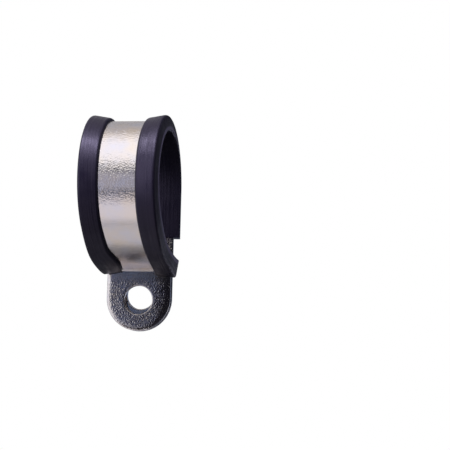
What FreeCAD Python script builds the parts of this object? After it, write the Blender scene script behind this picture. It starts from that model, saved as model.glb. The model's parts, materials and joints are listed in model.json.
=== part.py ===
import FreeCAD
import Part
import math
import os

# Rubber lined P clip. The origin is the centre of the fixing hole on the back face of the rear tab.
# +Z runs up from the hole to the ring, the wall is on the +Y side and the cable runs along X.
# Heights written as "out" are measured from the cable outwards, square to the strip.

# Driving sizes, mm and degrees
cable_diameter = 19.0
band_width = 12.0
band_thickness = 1.2
band_edge_bevel = 0.2
hole_diameter = 5.3
hole_rim_radius = 0.2
hole_to_tab_end = 5.7
hole_to_ring_centre = 20.5
tab_gap = 0.25
leg_start_angle = 39.0
leg_radius = 25.5
fold_radius = 0.5
liner_base = 0.6
liner_side_wall = 0.9
liner_side_flare = 0.5
liner_shoulder = 1.15
liner_tip_height = 0.6
liner_lip_cover = 2.65
liner_tip_slope = 0.3
liner_bore_bevel = 0.35
liner_shoulder_rounding = 0.5
liner_tip_bevel = 0.2
liner_rear_drop = 8.8
liner_fold_clearance = 0.05
fit_clearance = 0.03

# Heights out from the cable
band_inside = liner_base
band_outside = liner_base + band_thickness

# Ring, with its band tangent to the plane of the wall
bore_radius = cable_diameter / 2
ring_centre = FreeCAD.Vector(0, -(bore_radius + band_outside), hole_to_ring_centre)

# Tabs
front_tab_face = -(2 * band_thickness + tab_gap)
tab_end_centre = band_width / 2 - hole_to_tab_end


def direction(angle):
    """Unit vector in the plane of the strip's profile, angle in degrees from +Y towards +Z."""
    return FreeCAD.Vector(0, math.cos(math.radians(angle)), math.sin(math.radians(angle)))


# Leg: a flatter arc that carries the ring's lower front back to the fold
leg_start = 270 - leg_start_angle
leg_centre = ring_centre - direction(leg_start) * (leg_radius - bore_radius)

# Fold: bent the other way, tangent to the leg's outer face and to the front tab's face
fold_y = front_tab_face - fold_radius
fold_reach = leg_radius + band_outside + fold_radius
fold_drop = math.sqrt(fold_reach ** 2 - (fold_y - leg_centre.y) ** 2)
fold_centre = FreeCAD.Vector(0, fold_y, leg_centre.z - fold_drop)
leg_end = 270 + math.degrees(math.asin((fold_y - leg_centre.y) / fold_reach))
fold_start = leg_end - 180


def outline(corners):
    """Closed face from corners (x, out, trim, shape), each one cut back by trim along both its sides."""
    starts = []
    ends = []
    middles = []
    for i, (x, out, trim, shape) in enumerate(corners):
        point = FreeCAD.Vector(x, out, 0)
        before = FreeCAD.Vector(corners[i - 1][0], corners[i - 1][1], 0)
        after = FreeCAD.Vector(corners[(i + 1) % len(corners)][0], corners[(i + 1) % len(corners)][1], 0)
        back = (before - point).normalize()
        on = (after - point).normalize()
        half_angle = back.getAngle(on) / 2
        radius = trim * math.tan(half_angle)
        bisector = (back + on).normalize()
        starts.append(point + back * trim)
        ends.append(point + on * trim)
        middles.append(point + bisector * (radius / math.sin(half_angle) - radius))
    edges = []
    for i, (x, out, trim, shape) in enumerate(corners):
        if shape == "round":
            edges.append(Part.Arc(starts[i], middles[i], ends[i]).toShape())
        if shape == "bevel":
            edges.append(Part.LineSegment(starts[i], ends[i]).toShape())
        edges.append(Part.LineSegment(ends[i], starts[(i + 1) % len(corners)]).toShape())
    return Part.Face(Part.Wire(edges))


def place(section, foot, outward):
    """Stand a section drawn as (x, out) on the strip's path at foot, facing outward."""
    along = FreeCAD.Vector(1, 0, 0).cross(outward)
    matrix = FreeCAD.Matrix(
        1, outward.x, along.x, foot.x,
        0, outward.y, along.y, foot.y,
        0, outward.z, along.z, foot.z,
        0, 0, 0, 1)
    return section.transformed(matrix)


def bend(section, centre, radius, start, end):
    """Section carried round centre from start to end, with the cable side nearest the centre."""
    placed = place(section, centre + direction(start) * radius, direction(start))
    return placed.revolve(centre, FreeCAD.Vector(1, 0, 0), end - start)


def strap(section, low):
    """Straight rear part, from height low up to the level of the ring's centre."""
    foot = FreeCAD.Vector(0, ring_centre.y + bore_radius, low)
    return place(section, foot, direction(0)).extrude(FreeCAD.Vector(0, 0, ring_centre.z - low))


def ring(section):
    return bend(section, ring_centre, bore_radius, 0, leg_start)


def leg(section, end):
    return bend(section, leg_centre, leg_radius, leg_start, end)


def fold(section):
    """The one bend whose cable side is the far side from its centre."""
    foot = fold_centre + direction(fold_start) * (fold_radius + band_outside)
    placed = place(section, foot, -direction(fold_start))
    return placed.revolve(fold_centre, FreeCAD.Vector(1, 0, 0), -fold_start)


def front_tab(section):
    foot = FreeCAD.Vector(0, front_tab_face + band_outside, tab_end_centre)
    height = fold_centre.z - tab_end_centre
    return place(section, foot, direction(180)).extrude(FreeCAD.Vector(0, 0, height))


def round_end(half_section, foot_y, outward):
    """Half round end of a tab, the half section turned about the tab's middle line."""
    foot = FreeCAD.Vector(0, foot_y, tab_end_centre)
    placed = place(half_section, foot, outward)
    return placed.revolve(foot, FreeCAD.Vector(0, 1, 0), 180)


def steel_band():
    """One strip: rear tab, strap, ring, leg, fold and front tab, with a hole through both tabs."""
    half = band_width / 2
    inner = (half, band_inside, band_edge_bevel, "bevel")
    outer = (half, band_outside, band_edge_bevel, "bevel")
    section = outline([
        (-half, band_inside, band_edge_bevel, "bevel"), inner, outer,
        (-half, band_outside, band_edge_bevel, "bevel")])
    half_section = outline([(0, band_inside, 0, "sharp"), inner, outer, (0, band_outside, 0, "sharp")])
    rear_foot = ring_centre.y + bore_radius
    front_foot = front_tab_face + band_outside
    pieces = [
        strap(section, tab_end_centre), ring(section), leg(section, leg_end), fold(section), front_tab(section),
        round_end(half_section, rear_foot, direction(0)), round_end(half_section, front_foot, direction(180))]
    band = pieces[0].multiFuse(pieces[1:]).removeSplitter()
    hole_start = FreeCAD.Vector(0, front_tab_face - fold_radius, 0)
    hole_length = fold_radius - front_tab_face + band_thickness
    band = band.cut(Part.makeCylinder(hole_diameter / 2, hole_length, hole_start, FreeCAD.Vector(0, 1, 0)))
    rim = [edge for edge in band.Edges if is_front_rim(edge)]
    return band.makeFillet(hole_rim_radius, rim)


def is_front_rim(edge):
    """True for the circle where the hole meets the front tab's face."""
    round_edge = isinstance(edge.Curve, Part.Circle) and abs(edge.Curve.Radius - hole_diameter / 2) < 1e-6
    return round_edge and abs(edge.CenterOfMass.y - front_tab_face) < 1e-6


def rubber_liner():
    """Extruded channel that lines the ring and folds its two lips over the band's edges."""
    channel = band_width / 2 + fit_clearance
    floor = band_inside - fit_clearance
    seat = band_outside + fit_clearance
    shoulder = band_width / 2 + liner_side_wall
    bore_edge = shoulder + liner_side_flare
    foot = band_width / 2 - liner_lip_cover
    tip = foot + liner_tip_slope
    right = [
        (bore_edge, 0, liner_bore_bevel, "bevel"),
        (shoulder, band_outside + liner_shoulder, liner_shoulder_rounding, "round"),
        (tip, band_outside + liner_tip_height, liner_tip_bevel, "bevel"),
        (foot, seat, 0, "sharp"),
        (channel, seat, band_edge_bevel, "bevel"),
        (channel, floor, band_edge_bevel, "bevel")]
    left = [(-x, out, trim, shape) for x, out, trim, shape in reversed(right)]
    section = outline(right + left)
    front_end = leg_end - math.degrees((fit_clearance + liner_fold_clearance) / leg_radius)
    pieces = [strap(section, ring_centre.z - liner_rear_drop), ring(section), leg(section, front_end)]
    return pieces[0].multiFuse(pieces[1:]).removeSplitter()


os.makedirs("parts", exist_ok=True)
for name, make in (("steel_band", steel_band), ("rubber_liner", rubber_liner)):
    solid = make().Solids[0]
    solid.exportStep(os.path.join("parts", name + ".step"))
    print(name, "valid", solid.isValid(), "volume mm3", round(solid.Volume, 2))
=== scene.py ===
import json
import math

import bmesh
import bpy
from mathutils import Matrix, Vector


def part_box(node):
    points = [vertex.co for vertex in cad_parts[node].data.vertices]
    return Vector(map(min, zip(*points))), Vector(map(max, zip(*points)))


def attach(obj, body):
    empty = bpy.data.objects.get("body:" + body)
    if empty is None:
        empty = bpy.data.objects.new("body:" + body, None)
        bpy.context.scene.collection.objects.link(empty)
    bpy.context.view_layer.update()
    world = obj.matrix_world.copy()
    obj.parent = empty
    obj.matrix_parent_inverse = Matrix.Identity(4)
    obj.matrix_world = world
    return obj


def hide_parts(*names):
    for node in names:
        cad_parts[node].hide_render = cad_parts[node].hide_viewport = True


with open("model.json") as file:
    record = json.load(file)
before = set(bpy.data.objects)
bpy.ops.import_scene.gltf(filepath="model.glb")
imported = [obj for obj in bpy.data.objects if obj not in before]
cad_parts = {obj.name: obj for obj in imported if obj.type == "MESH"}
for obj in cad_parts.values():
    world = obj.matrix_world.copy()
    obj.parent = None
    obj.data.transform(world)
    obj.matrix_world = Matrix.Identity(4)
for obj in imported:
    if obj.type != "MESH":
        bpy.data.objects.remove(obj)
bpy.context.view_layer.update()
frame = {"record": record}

# Rubber lined P clip. Both pieces are meshes carried along the strip's path, which is its cable side.
# Heights called out are measured from the path outwards, square to the strip.

MM = 0.001
mounts = {mount["name"]: mount for mount in frame["record"]["mounts"]}
band_low, band_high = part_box("steel_band")


def direction(angle):
    """Unit vector in the plane of the strip's profile, turned from +Y towards +Z."""
    return Vector((0, math.cos(angle), math.sin(angle)))


# Strip, with the ring's sizes read from the frame
BORE_RADIUS = mounts["cable_bore"]["dims"]["r_mm"] * MM
RING_CENTRE = Vector(mounts["cable_bore"]["pos_m"])
HOLE_RADIUS = mounts["fixing_hole"]["dims"]["r_mm"] * MM
HALF_BAND = (band_high.x - band_low.x) / 2
BAND_OUTSIDE = band_high.z - RING_CENTRE.z - BORE_RADIUS
BAND_THICKNESS = 1.2 * MM
BAND_INSIDE = BAND_OUTSIDE - BAND_THICKNESS
TAB_GAP = 0.25 * MM
TAB_END_CENTRE = band_low.z + HALF_BAND

# Sheared and tumbled edges, rounded over a part of the face and of the thickness, and the holes' edges
EDGE_REACH = 0.95 * MM
EDGE_DEPTH = 0.42 * MM
HOLE_RIM = 0.2 * MM
HALF_FACE = HALF_BAND - EDGE_REACH

# The loose strip springs open, which leaves the rear tab's hole off the front one's line
REAR_HOLE_X = 0.2 * MM
REAR_HOLE_Z = 1.05 * MM

# Leg under the ring and the fold that ends it
REAR_FOOT = RING_CENTRE.y + BORE_RADIUS
FRONT_FOOT = BAND_OUTSIDE - 2 * BAND_THICKNESS - TAB_GAP
LEG_START = math.radians(231)
LEG_RADIUS = 25.5 * MM
LEG_CENTRE = RING_CENTRE - direction(LEG_START) * (LEG_RADIUS - BORE_RADIUS)
FOLD_RADIUS = 0.5 * MM
FOLD_REACH = LEG_RADIUS + BAND_OUTSIDE + FOLD_RADIUS
FOLD_Y = FRONT_FOOT - BAND_OUTSIDE - FOLD_RADIUS
LEG_END = 1.5 * math.pi + math.asin((FOLD_Y - LEG_CENTRE.y) / FOLD_REACH)
FOLD_CENTRE = LEG_CENTRE + direction(LEG_END) * FOLD_REACH

# Liner's section
FIT = 0.03 * MM
SIDE_WALL = 0.9 * MM
SIDE_FLARE = 0.5 * MM
SHOULDER = 1.15 * MM
TIP_HEIGHT = 0.6 * MM
TIP_SLOPE = 0.3 * MM
LIP_COVER = 2.65 * MM
BORE_EDGE_ROUNDING = 0.4 * MM
SHOULDER_ROUNDING = 0.5 * MM
TIP_ROUNDING = 0.25 * MM
LIP_FOOT_ROUNDING = 0.05 * MM
CHANNEL_ROUNDING = 0.2 * MM

# Liner's two ends: below the ring's centre at the strap, and just short of the fold
REAR_DROP = 8.8 * MM
FOLD_CLEARANCE = 0.0765 * MM

# Distorted front end. Each row has a distance from the end, how far the left lip, the right lip and the
# outer sides have moved to the right, and how much the right lip has swollen where the fold squeezes it.
END_SHAPE_MM = (
    (0, 0.45, -0.4, 0.25, 0.5),
    (1, 0.6, -0.3, 0.2, 0.42),
    (2.5, 0.85, -0.2, 0.15, 0.2),
    (4, 1.05, -0.2, 0.1, 0.05),
    (5.5, 1.0, -0.2, 0, 0),
    (7, 0.7, -0.2, -0.1, 0),
    (8.5, 0.3, -0.2, -0.15, 0),
    (10, 0.05, -0.2, -0.15, 0),
    (16, 0, -0.15, 0, 0),
    (24, 0, -0.1, 0, 0),
    (90, 0, -0.1, 0, 0))

# Height of the cut above the holes, below which the tabs are woven apart from the strip
TAB_CUT = 4.6 * MM

# Steps of the meshes, of which the first two rows are for the strap, the ring and the leg
BAND_STEPS = (12, 170, 50)
LINER_STEPS = (12, 150, 40)
FOLD_STEPS = 16
FRONT_TAB_STEPS = 2
FACE_STEPS = 14
EDGE_STEPS = 6
TAB_SIDE_STEPS = 6
TAB_END_STEPS = 48
TAB_FACE_STEPS = 6

# Points nearer than this are one, and an edge of the liner that turns more than this is sharp
SAME_POINT = 0.001 * MM
SHARP_TURN = math.radians(50)


# Materials
def linear(code):
    """Linear colour from an sRGB hex code."""
    channels = [int(code[i:i + 2], 16) / 255 for i in (1, 3, 5)]
    return [c / 12.92 if c <= 0.04045 else ((c + 0.055) / 1.055) ** 2.4 for c in channels] + [1.0]


def add(tree, kind, inputs, **settings):
    """Add a node with its settings, and link or set each of its inputs."""
    made = tree.nodes.new(kind)
    for name, value in settings.items():
        setattr(made, name, value)
    for name, value in inputs.items():
        if isinstance(value, bpy.types.NodeSocket):
            tree.links.new(value, made.inputs[name])
        else:
            made.inputs[name].default_value = value
    return made


def empty_material(name):
    material = bpy.data.materials.new(name)
    material.use_nodes = True
    material.node_tree.nodes.clear()
    return material


def per_metre(size_mm):
    """Texture scale that gives features of this size."""
    return 1 / (size_mm * MM)


def zinc_plated_steel():
    """Cold rolled strip, bright zinc electroplated and passivated.

    A pale metal that mirrors the room, a little blurred. Its fine crystal grain sparkles where it reflects
    something dark, and the passivation leaves faint straw and blue patches. The forming tool has burnished
    the bends between ring and tab, and the front hole's wall is smooth. The crystals are drawn coarser than
    real, so that they show.
    """
    patch_mm = 3.2
    crystal_mm = 0.27
    crystal_height = 0.074 * MM
    # Heights of the burnished bends, which lie in front of the tabs' gap, and what they keep of the grain
    bend_middle = 9.3 * MM
    bend_reach = 5.0 * MM
    bend_fade = 1.2 * MM
    tabs_gap = -BAND_THICKNESS - TAB_GAP / 2
    bend_grain = 0.25
    # Distances from the front hole's axis, out to which all is smooth and from which the face is grainy
    smooth_to = HOLE_RADIUS + 0.1 * MM
    grainy_from = HOLE_RADIUS + 0.35 * MM
    wall_grain = 0.1

    material = empty_material("zinc plated steel")
    tree = material.node_tree
    place = add(tree, "ShaderNodeTexCoord", {}).outputs["Object"]
    axes = add(tree, "ShaderNodeSeparateXYZ", {"Vector": place})
    patches = add(tree, "ShaderNodeTexNoise", {
        "Vector": place, "Scale": per_metre(patch_mm), "Detail": 2.0})
    tint = add(tree, "ShaderNodeMix", {
        "Factor": patches.outputs["Fac"], "A": linear("#eadbc6"), "B": linear("#d3d8ec")}, data_type="RGBA")
    crystals = add(tree, "ShaderNodeTexNoise", {
        "Vector": place, "Scale": per_metre(crystal_mm), "Detail": 1.0, "Roughness": 0.6})

    # Share of the grain that is left
    from_bend = add(tree, "ShaderNodeMath", {0: axes.outputs["Z"], 1: bend_middle}, operation="SUBTRACT")
    from_bend = add(tree, "ShaderNodeMath", {0: from_bend.outputs["Value"]}, operation="ABSOLUTE")
    off_bend = add(tree, "ShaderNodeMapRange", {
        "Value": from_bend.outputs["Value"], "From Min": bend_reach, "From Max": bend_reach + bend_fade,
        "To Min": bend_grain, "To Max": 1.0})
    at_rear = add(tree, "ShaderNodeMath", {0: axes.outputs["Y"], 1: tabs_gap}, operation="GREATER_THAN")
    grain = add(tree, "ShaderNodeMath", {0: off_bend.outputs["Result"], 1: at_rear.outputs["Value"]},
                operation="MAXIMUM")
    from_axis = add(tree, "ShaderNodeVectorMath", {0: place, 1: (1, 0, 1)}, operation="MULTIPLY")
    from_axis = add(tree, "ShaderNodeVectorMath", {0: from_axis.outputs["Vector"]}, operation="LENGTH")
    off_wall = add(tree, "ShaderNodeMapRange", {
        "Value": from_axis.outputs["Value"], "From Min": smooth_to, "From Max": grainy_from,
        "To Min": wall_grain, "To Max": 1.0})
    grain = add(tree, "ShaderNodeMath", {0: grain.outputs["Value"], 1: off_wall.outputs["Result"]},
                operation="MULTIPLY")

    centred = add(tree, "ShaderNodeMath", {0: crystals.outputs["Fac"], 1: 0.5}, operation="SUBTRACT")
    peaks = add(tree, "ShaderNodeMath", {0: centred.outputs["Value"], 1: grain.outputs["Value"]},
                operation="MULTIPLY")
    relief = add(tree, "ShaderNodeBump", {
        "Height": peaks.outputs["Value"], "Distance": crystal_height, "Strength": 1.0})
    grain_rough = add(tree, "ShaderNodeMapRange", {
        "Value": crystals.outputs["Fac"], "From Min": 0.3, "From Max": 0.7, "To Min": 0.11, "To Max": 0.2})
    rough = add(tree, "ShaderNodeMapRange", {
        "Value": grain.outputs["Value"], "From Min": bend_grain, "From Max": 1.0, "To Min": 0.21,
        "To Max": grain_rough.outputs["Result"]})
    surface = add(tree, "ShaderNodeBsdfPrincipled", {
        "Base Color": tint.outputs["Result"], "Metallic": 1.0, "Roughness": rough.outputs["Result"],
        "Normal": relief.outputs["Normal"]})
    add(tree, "ShaderNodeOutputMaterial", {"Surface": surface.outputs["BSDF"]})
    return material


def extruded_rubber(round_mm):
    """Black EPDM rubber, extruded and cured.

    A smooth satin black with a slight violet cast, faint streaks along the extrusion and a cloudy bloom.
    A painted highlight, a paler violet line, lies near each of the bore's two edges. The UV map is in mm,
    along the extrusion and round its outside, which is round_mm from one of those edges to the other. The
    streaks are drawn coarser than real, so that they show.
    """
    streak_length_mm = 14
    streak_width_mm = 0.35
    streak_height = 0.06 * MM
    bloom_mm = 2.6
    # Distances from the bore's edge over which the painted highlight line fades in, and out again
    fade_in_mm = (0.45, 0.6)
    fade_out_mm = (0.95, 1.2)

    material = empty_material("extruded EPDM rubber")
    tree = material.node_tree
    place = add(tree, "ShaderNodeTexCoord", {}).outputs["Object"]
    along = add(tree, "ShaderNodeUVMap", {}, uv_map="along_and_round").outputs["UV"]
    stretched = add(tree, "ShaderNodeMapping", {
        "Vector": along, "Scale": (1 / streak_length_mm, 1 / streak_width_mm, 1)})
    streaks = add(tree, "ShaderNodeTexNoise", {
        "Vector": stretched.outputs["Vector"], "Scale": 1.0, "Detail": 3.0})
    bloom = add(tree, "ShaderNodeTexNoise", {"Vector": place, "Scale": per_metre(bloom_mm), "Detail": 4.0})
    mottle = add(tree, "ShaderNodeMath", {0: streaks.outputs["Fac"], 1: bloom.outputs["Fac"]},
                 operation="MULTIPLY")
    black = add(tree, "ShaderNodeMix", {
        "Factor": mottle.outputs["Value"], "A": linear("#100e18"), "B": linear("#191726")},
                data_type="RGBA")

    # Painted highlight: a paler violet line near each of the bore's edges, standing in for light caught at
    # the edge
    axes = add(tree, "ShaderNodeSeparateXYZ", {"Vector": along})
    from_far_edge = add(tree, "ShaderNodeMath", {0: round_mm, 1: axes.outputs["Y"]}, operation="SUBTRACT")
    from_edge = add(tree, "ShaderNodeMath", {0: axes.outputs["Y"], 1: from_far_edge.outputs["Value"]},
                    operation="MINIMUM")
    faded_in = add(tree, "ShaderNodeMapRange", {
        "Value": from_edge.outputs["Value"], "From Min": fade_in_mm[0], "From Max": fade_in_mm[1]})
    not_yet_out = add(tree, "ShaderNodeMapRange", {
        "Value": from_edge.outputs["Value"], "From Min": fade_out_mm[0], "From Max": fade_out_mm[1],
        "To Min": 1.0, "To Max": 0.0})
    painted_edge_highlight = add(tree, "ShaderNodeMath", {0: faded_in.outputs["Result"], 1: not_yet_out.outputs["Result"]},
                 operation="MULTIPLY")
    # The painted highlight's pale violet is mixed into the rubber's colour here
    colour = add(tree, "ShaderNodeMix", {
        "Factor": painted_edge_highlight.outputs["Value"], "A": black.outputs["Result"], "B": linear("#403c50")},
                 data_type="RGBA")

    rough = add(tree, "ShaderNodeMapRange", {
        "Value": mottle.outputs["Value"], "From Min": 0.12, "From Max": 0.38,
        "To Min": 0.52, "To Max": 0.28})
    relief = add(tree, "ShaderNodeBump", {
        "Height": streaks.outputs["Fac"], "Distance": streak_height, "Strength": 1.0})
    surface = add(tree, "ShaderNodeBsdfPrincipled", {
        "Base Color": colour.outputs["Result"], "Roughness": rough.outputs["Result"], "IOR": 1.52,
        "Specular IOR Level": 0.21, "Specular Tint": linear("#e0d8ff"), "Normal": relief.outputs["Normal"]})
    add(tree, "ShaderNodeOutputMaterial", {"Surface": surface.outputs["BSDF"]})
    return material


def seen_rays(tree):
    """1 for a ray from the camera or from a reflecting or clear surface, 0 for light on a matt one."""
    ray = add(tree, "ShaderNodeLightPath", {})
    seen = add(tree, "ShaderNodeMath", {0: ray.outputs["Is Camera Ray"], 1: ray.outputs["Is Glossy Ray"]},
               operation="MAXIMUM")
    seen = add(tree, "ShaderNodeMath", {0: seen.outputs["Value"], 1: ray.outputs["Is Transmission Ray"]},
               operation="MAXIMUM")
    return seen.outputs["Value"]


def matt_white_paper():
    """Uncoated white paper, matt. It is lifted where it is seen, so that it is as pale as the room."""
    lift_strength = 0.4
    material = empty_material("matt white paper")
    tree = material.node_tree
    lift = add(tree, "ShaderNodeMath", {0: seen_rays(tree), 1: lift_strength}, operation="MULTIPLY")
    surface = add(tree, "ShaderNodeBsdfPrincipled", {
        "Base Color": linear("#e6e4e2"), "Roughness": 0.9, "Emission Color": linear("#ffffff"),
        "Emission Strength": lift.outputs["Value"]})
    add(tree, "ShaderNodeOutputMaterial", {"Surface": surface.outputs["BSDF"]})
    return material


# Path of the strip, as stops: a foot on the path and the direction outwards there
def arc(centre, radius, start, end, steps, side=1):
    """Stops along an arc. The side is -1 where the cable side is the far one."""
    turns = [direction(start + (end - start) * step / steps) for step in range(steps + 1)]
    return [(centre + turn * radius, turn * side) for turn in turns]


def straight(foot_y, outward_y, start_z, end_z, steps):
    """Stops along a straight part."""
    heights = [start_z + (end_z - start_z) * step / steps for step in range(steps + 1)]
    return [(Vector((0, foot_y, z)), Vector((0, outward_y, 0))) for z in heights]


def strap_ring_and_leg(low, leg_end, steps):
    """Stops up the strap from its height low, round the ring and down the leg."""
    strap_steps, ring_steps, leg_steps = steps
    path = straight(REAR_FOOT, 1, low, RING_CENTRE.z, strap_steps)
    path += arc(RING_CENTRE, BORE_RADIUS, 0, LEG_START, ring_steps)[1:]
    path += arc(LEG_CENTRE, LEG_RADIUS, LEG_START, leg_end, leg_steps)[1:]
    return path


def stand(section, stop):
    """Section drawn as (x, out), stood on a stop of the path."""
    foot, outward = stop
    return [foot + outward * out + Vector((x, 0, 0)) for x, out in section]


# Meshes, woven from rows of points
def weave(bm, rows, closed=False):
    """Quads between neighbouring rows of points. Gives back the rows of vertices."""
    made = [[bm.verts.new(point) for point in row] for row in rows]
    for row, after in zip(made, made[1:]):
        count = len(row) if closed else len(row) - 1
        for i in range(count):
            j = (i + 1) % len(row)
            bm.faces.new((row[i], after[i], after[j], row[j]))
    return made


def finished(name, bm):
    """One smooth shaded object from the woven parts, joined where their points meet."""
    bmesh.ops.remove_doubles(bm, verts=bm.verts, dist=SAME_POINT)
    bmesh.ops.recalc_face_normals(bm, faces=bm.faces)
    mesh = bpy.data.meshes.new(name)
    bm.to_mesh(mesh)
    bm.free()
    mesh.polygons.foreach_set("use_smooth", [True] * len(mesh.polygons))
    made = bpy.data.objects.new(name, mesh)
    bpy.context.scene.collection.objects.link(made)
    return made


# Steel band: a flat blank with round ends and two holes, laid along the path
def across_face():
    """Places across the flat of the strip, from left to right."""
    return [HALF_FACE * (2 * step / FACE_STEPS - 1) for step in range(FACE_STEPS + 1)]


def rounded_side(reach, depth):
    """(reach, out) pairs from the outer face, round both edges, to the inner face."""
    turns = [math.pi / 2 * step / EDGE_STEPS for step in range(EDGE_STEPS + 1)]
    outer = [(reach * math.sin(turn), BAND_OUTSIDE - depth * (1 - math.cos(turn))) for turn in turns]
    inner = [(reach * math.cos(turn), BAND_INSIDE + depth * (1 - math.sin(turn))) for turn in turns]
    return outer + inner


def strip_section():
    """Closed loop of (x, out) round the strip."""
    side = rounded_side(EDGE_REACH, EDGE_DEPTH)[1:-1]
    loop = [(x, BAND_OUTSIDE) for x in across_face()]
    loop += [(HALF_FACE + reach, out) for reach, out in side]
    loop += [(-x, BAND_INSIDE) for x in across_face()]
    loop += [(-HALF_FACE - reach, out) for reach, out in reversed(side)]
    return loop


def tab_edge():
    """Edge of a tab's face as (place, way out), from the cut's right end round to its left end."""
    drop = TAB_END_CENTRE - TAB_CUT
    heights = [TAB_CUT + drop * step / TAB_SIDE_STEPS for step in range(TAB_SIDE_STEPS)]
    turns = [-math.pi * step / TAB_END_STEPS for step in range(TAB_END_STEPS + 1)]
    aways = [Vector((math.cos(turn), math.sin(turn))) for turn in turns]
    edge = [(Vector((HALF_FACE, z)), Vector((1, 0))) for z in heights]
    edge += [(Vector((0, TAB_END_CENTRE)) + away * HALF_FACE, away) for away in aways]
    edge += [(Vector((-HALF_FACE, z)), Vector((-1, 0))) for z in reversed(heights)]
    return edge


def weave_tab(bm, foot_y, outward_y, hole_x=0.0, hole_z=0.0):
    """Tab below the cut: both faces round the hole, the rounded edge and the hole's wall."""
    edge = tab_edge()
    border = [Vector((x, TAB_CUT)) for x in across_face()[:-1]] + [place for place, away in edge[:-1]]
    hole = Vector((hole_x, hole_z))
    rays = [(place - hole).normalized() for place in border]

    def point(place, out):
        return Vector((place.x, foot_y + outward_y * out, place.y))

    rim = [hole + ray * (HOLE_RADIUS + HOLE_RIM) for ray in rays]
    shares = [step / TAB_FACE_STEPS for step in range(TAB_FACE_STEPS + 1)]
    for out in (BAND_OUTSIDE, BAND_INSIDE):
        rows = [[point(near.lerp(far, share), out) for near, far in zip(rim, border)] for share in shares]
        weave(bm, rows, closed=True)
    side = rounded_side(EDGE_REACH, EDGE_DEPTH)
    weave(bm, [[point(place + away * reach, out) for reach, out in side] for place, away in edge])
    wall = [(HOLE_RADIUS + HOLE_RIM - reach, out) for reach, out in rounded_side(HOLE_RIM, HOLE_RIM)]
    weave(bm, [[point(hole + ray * radius, out) for ray in rays] for radius, out in wall], closed=True)


def steel_band():
    """One strip: strap, ring, leg, fold and the two tabs."""
    bm = bmesh.new()
    path = strap_ring_and_leg(TAB_CUT, LEG_END, BAND_STEPS)
    path += arc(FOLD_CENTRE, FOLD_RADIUS + BAND_OUTSIDE, LEG_END - math.pi, 0, FOLD_STEPS, side=-1)[1:]
    path += straight(FRONT_FOOT, -1, FOLD_CENTRE.z, TAB_CUT, FRONT_TAB_STEPS)[1:]
    weave(bm, [stand(strip_section(), stop) for stop in path], closed=True)
    weave_tab(bm, REAR_FOOT, 1, REAR_HOLE_X, REAR_HOLE_Z)
    weave_tab(bm, FRONT_FOOT, -1)
    made = finished("band", bm)
    made.modifiers.new("flat faces stay flat", "WEIGHTED_NORMAL").weight = 100
    made.data.materials.append(zinc_plated_steel())
    return made


band = steel_band()
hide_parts("steel_band")
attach(band, "root")


# Rubber liner: the channel carried from its rear end on the strap, round the ring, to the leg's end
def corner_points(corners):
    """Closed loop of (x, out) from corners (x, out, trim, steps), each one rounded off over its trim."""
    loop = []
    for i, (x, out, trim, steps) in enumerate(corners):
        point = Vector((x, out))
        back = (Vector(corners[i - 1][:2]) - point).normalized() * trim
        on = (Vector(corners[(i + 1) % len(corners)][:2]) - point).normalized() * trim
        for step in range(steps + 1):
            share = step / steps
            loop.append(point + back * (1 - share) ** 2 + on * share ** 2)
    return loop


def liner_section(left_lip=0.0, right_lip=0.0, sides=0.0, swell=0.0):
    """Loop of (x, out) from the bore's right edge, with side walls, lips over the band and the channel."""
    channel = HALF_BAND + FIT
    side = HALF_BAND + SIDE_WALL
    foot = HALF_BAND - LIP_COVER
    corners = []
    for hand, lip, more in ((1, right_lip, swell), (-1, left_lip, 0.0)):
        half = [
            (hand * (side + SIDE_FLARE) + sides, 0, BORE_EDGE_ROUNDING, 6),
            (hand * side + sides, BAND_OUTSIDE + SHOULDER + more, SHOULDER_ROUNDING, 8),
            (hand * (foot + TIP_SLOPE) + lip, BAND_OUTSIDE + TIP_HEIGHT + more, TIP_ROUNDING, 5),
            (hand * foot + lip, BAND_OUTSIDE + FIT, LIP_FOOT_ROUNDING, 2),
            (hand * channel, BAND_OUTSIDE + FIT, CHANNEL_ROUNDING, 2),
            (hand * channel, BAND_INSIDE - FIT, CHANNEL_ROUNDING, 2)]
        corners += half[::hand]
    return corner_points(corners)


def end_shape(distance):
    """Moves of the left lip, right lip and sides, and the swell, at a distance from the front end."""
    for before, after in zip(END_SHAPE_MM, END_SHAPE_MM[1:]):
        share = (distance / MM - before[0]) / (after[0] - before[0])
        if share <= 1:
            return [(a + (b - a) * share) * MM for a, b in zip(before[1:], after[1:])]


def running_lengths(points):
    """Length so far at each of the points."""
    lengths = [0.0]
    for before, after in zip(points, points[1:]):
        lengths.append(lengths[-1] + (after - before).length)
    return lengths


def map_along_and_round(mesh, lengths, rounds):
    """UV map in mm, along the extrusion and round its section."""
    count = len(rounds) - 1
    uv = mesh.uv_layers.new(name="along_and_round")
    for polygon in mesh.polygons:
        places = [divmod(mesh.loops[loop].vertex_index, count) for loop in polygon.loop_indices]
        # The bore's face closes the section, so there its first point is also the last mark round it
        on_bore = any(i == count - 1 for row, i in places)
        for loop, (row, i) in zip(polygon.loop_indices, places):
            mark = count if on_bore and i == 0 else i
            uv.data[loop].uv = (lengths[row] / MM, rounds[mark] / MM)


def rubber_liner():
    """Extruded channel, with its lips over the band's edges and its front end distorted."""
    bm = bmesh.new()
    front_end = LEG_END - FOLD_CLEARANCE / LEG_RADIUS
    path = strap_ring_and_leg(RING_CENTRE.z - REAR_DROP, front_end, LINER_STEPS)
    lengths = running_lengths([foot for foot, outward in path])
    sections = [liner_section(*end_shape(lengths[-1] - length)) for length in lengths]
    rows = [stand(section, stop) for section, stop in zip(sections, path)]
    woven = weave(bm, rows, closed=True)
    bm.faces.new(woven[0])
    bm.faces.new(woven[-1])
    made = finished("liner", bm)
    made.data.set_sharp_from_angle(angle=SHARP_TURN)
    plain = liner_section()
    rounds = running_lengths(plain + plain[:1])
    map_along_and_round(made.data, lengths, rounds)
    made.data.materials.append(extruded_rubber(rounds[-2] / MM))
    return made


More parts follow.
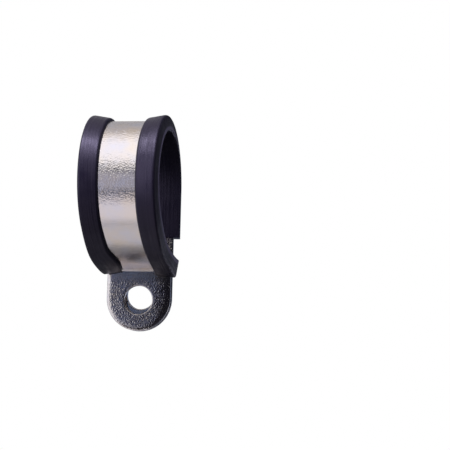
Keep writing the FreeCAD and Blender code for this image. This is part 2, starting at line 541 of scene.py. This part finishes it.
liner = rubber_liner()
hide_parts("rubber_liner")
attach(liner, "root")

# Camera, from the photograph: its place round the ring, and where the ring's centre falls in the picture
PICTURE_PX = 450
FOCAL_PX = 1900
RING_X_PX = 130.9
RING_Y_PX = 183.4
CAMERA_DISTANCE = 345.5 * MM
AZIMUTH = math.radians(12.9)
PITCH = math.radians(8)
SENSOR_MM = 36
camera_up = Vector((0, -math.sin(PITCH), math.cos(PITCH)))
in_front = Vector((0, -math.cos(PITCH), -math.sin(PITCH)))
to_camera = Vector((math.sin(AZIMUTH), 0, 0)) + in_front * math.cos(AZIMUTH)
camera_right = camera_up.cross(to_camera).normalized()
from_ring = camera_right * (PICTURE_PX / 2 - RING_X_PX) - camera_up * (PICTURE_PX / 2 - RING_Y_PX)
aim = RING_CENTRE + from_ring * CAMERA_DISTANCE / FOCAL_PX
eye = RING_CENTRE + to_camera * CAMERA_DISTANCE
towards_eye = (eye - aim).normalized()
picture_right = camera_up.cross(towards_eye).normalized()
picture_up = towards_eye.cross(picture_right)
camera_axes = Matrix((picture_right, picture_up, towards_eye)).transposed()
camera_data = bpy.data.cameras.new("camera")
camera_data.sensor_width = SENSOR_MM
camera_data.lens = SENSOR_MM * FOCAL_PX / PICTURE_PX
camera_data.clip_start = 10 * MM
camera = bpy.data.objects.new("camera", camera_data)
camera.matrix_world = Matrix.Translation(eye) @ camera_axes.to_4x4()
bpy.context.scene.collection.objects.link(camera)
bpy.context.scene.camera = camera


# Set round the part, with its places in mm
def staged(name, places, faces, material):
    """Piece of the set, from places in mm."""
    mesh = bpy.data.meshes.new(name)
    mesh.from_pydata([Vector(place) * MM for place in places], [], faces)
    mesh.materials.append(material)
    made = bpy.data.objects.new(name, mesh)
    bpy.context.scene.collection.objects.link(made)
    return made


# Pale floor, well under the part, which is held up by its fixing hole
FLOOR = -250
FLOOR_HALF = 3000
floor_corners = [(x * FLOOR_HALF, y * FLOOR_HALF, FLOOR) for x, y in ((-1, -1), (1, -1), (1, 1), (-1, 1))]
staged("floor", floor_corners, [(0, 1, 2, 3)], matt_white_paper())


# Cards of one tone each, which reflections alone see
def glowing_card(name, code, clear_in_front):
    """Evenly lit card. One that is clear in front glows only towards the part behind it."""
    material = empty_material(name)
    tree = material.node_tree
    shown = add(tree, "ShaderNodeEmission", {"Color": linear(code), "Strength": 1.0}).outputs["Emission"]
    if clear_in_front:
        behind = add(tree, "ShaderNodeNewGeometry", {}).outputs["Backfacing"]
        clear = add(tree, "ShaderNodeBsdfTransparent", {}).outputs["BSDF"]
        shown = add(tree, "ShaderNodeMixShader", {"Fac": behind, 1: clear, 2: shown}).outputs["Shader"]
    add(tree, "ShaderNodeOutputMaterial", {"Surface": shown})
    return material


def card(name, low, high, code, clear_in_front=False):
    """Card between a low line and a high line of places."""
    places = [place for pair in zip(low, high) for place in pair]
    faces = [(2 * i, 2 * i + 2, 2 * i + 3, 2 * i + 1) for i in range(len(low) - 1)]
    made = staged(name, places, faces, glowing_card(name, code, clear_in_front))
    made.visible_camera = False
    made.visible_diffuse = False
    made.visible_shadow = False


def round_card(name, start, end, low, high, code):
    """Far card round the part, its angles in degrees from straight ahead, + to the clip's right."""
    radius = 390
    steps = 24
    turns = [math.radians(start + (end - start) * step / steps) for step in range(steps + 1)]
    plan = [(math.sin(turn) * radius, -math.cos(turn) * radius) for turn in turns]
    card(name, [(x, y, low) for x, y in plan], [(x, y, high) for x, y in plan], code)


def upright_card(name, y, left, right, low, high, code, clear_in_front=False):
    """Flat card across the view."""
    card(name, [(left, y, low), (right, y, low)], [(left, y, high), (right, y, high)], code, clear_in_front)


def floor_card(name, left, right, front, rear, code):
    """Card that lies just over the floor."""
    z = FLOOR + 1
    card(name, [(left, front, z), (right, front, z)], [(left, rear, z), (right, rear, z)], code)


# Far cards in front and below, which give the ring its light and dark bands
round_card("right card", 40, 120, FLOOR, 260, "#1e1e24")
round_card("left card", -130, -50, FLOOR, 260, "#f6f6fc")
round_card("left front low card", -50, -28, FLOOR, -50, "#b2b0b8")
round_card("left front card", -50, -28, -50, 200, "#ffffff")
round_card("front low card", -28, 40, FLOOR, -135, "#c4c2cc")
round_card("front dark card", -28, 40, -135, -50, "#484a56")
round_card("front card", -28, 40, -50, 165, "#50525e")
floor_card("front floor card", -400, 30, -390, -80, "#ece4e4")
floor_card("middle floor card", -400, 30, -80, 118, "#ccc8ca")
floor_card("right floor card", 30, 400, -390, 118, "#3c3c44")

# Near cards, for the reflections in the tab, its edge, the rear tab behind the hole and the leg's end
upright_card("tab left card", -70, -45, -19, -8, 32, "#62647a")
upright_card("tab middle card", -70, -19, -14, -8, 32, "#3c3e4c")
upright_card("tab right card", -70, -14, 45, -8, 32, "#0a0a0e")
upright_card("hole card", -69, -20.5, -13.0, 3.5, 9.5, "#6480a8")
upright_card("tab edge card", -9, 1.5, 14, -12, 6, "#14141a", clear_in_front=True)
upright_card("fold card", -20, -24, 16, -42, -13, "#0a0a0e", clear_in_front=True)

# Cards behind, for the reflections in the ring's top and the strap's back
upright_card("back middle card", 118, -32, 36, -20, 40, "#6e7e9c")
upright_card("back low card", 118, 36, 72, -60, 0, "#e8e8f0")
upright_card("back left card", 120, -390, 50, -250, 60, "#74757c")
upright_card("back right card", 120, 50, 390, -250, 60, "#4a4c54")
upright_card("back left high card", 120, -390, 0, 60, 250, "#b6b4b6")
upright_card("back right high card", 120, 0, 390, 60, 250, "#4a4c54")
card("back roof card", [(-390, 120, 250), (390, 120, 250)], [(-390, 0, 560), (390, 0, 560)], "#c8c0ba")


# Lamps, of which all but the first light one piece alone
def softbox(name, elevation, azimuth, distance, width, height, radiance, code, lit=None):
    """Area lamp of one radiance that faces the ring's centre, its angles in degrees and its sizes in mm."""
    lamp = bpy.data.lights.new(name, "AREA")
    lamp.shape = "RECTANGLE"
    lamp.size = width * MM
    lamp.size_y = height * MM
    lamp.energy = math.pi * lamp.size * lamp.size_y * radiance
    lamp.color = linear(code)[:3]
    made = bpy.data.objects.new(name, lamp)
    tilt = math.radians(elevation)
    turn = math.radians(azimuth)
    away = Vector((math.sin(turn) * math.cos(tilt), -math.cos(turn) * math.cos(tilt), math.sin(tilt)))
    made.location = RING_CENTRE + away * distance * MM
    made.rotation_euler = away.to_track_quat("Z", "Y").to_euler()
    made.visible_camera = False
    bpy.context.scene.collection.objects.link(made)
    if lit:
        only = bpy.data.collections.new(name + " lights")
        only.objects.link(lit)
        made.light_linking.receiver_collection = only


softbox("overhead softbox", 60, -12, 600, 800, 620, 0.27, "#fff0fa")
softbox("ring strip light", -5, 0, 15.7, 15, 5.5, 0.40, "#f4f2ff", lit=band)
softbox("rubber key", 63, -12, 600, 700, 220, 19.0, "#f2ecf8", lit=liner)
softbox("rubber side light", 5, -34, 600, 160, 420, 15.0, "#f4ecfa", lit=liner)
softbox("rubber low light", -16, 163, 600, 120, 140, 8.0, "#e0d8ff", lit=liner)

# White surroundings for the camera and for reflections, and a soft fill on everything else
FILL = 0.5
world = bpy.data.worlds.new("white room")
world.use_nodes = True
bpy.context.scene.world = world
tree = world.node_tree
tree.nodes.clear()
fill = add(tree, "ShaderNodeBackground", {"Color": linear("#ffffff"), "Strength": FILL})
white = add(tree, "ShaderNodeBackground", {"Color": linear("#ffffff"), "Strength": 1.0})
mixed = add(tree, "ShaderNodeMixShader", {
    "Fac": seen_rays(tree), 1: fill.outputs["Background"], 2: white.outputs["Background"]})
add(tree, "ShaderNodeOutputWorld", {"Surface": mixed.outputs["Shader"]})

bpy.context.scene.view_settings.view_transform = "Standard"
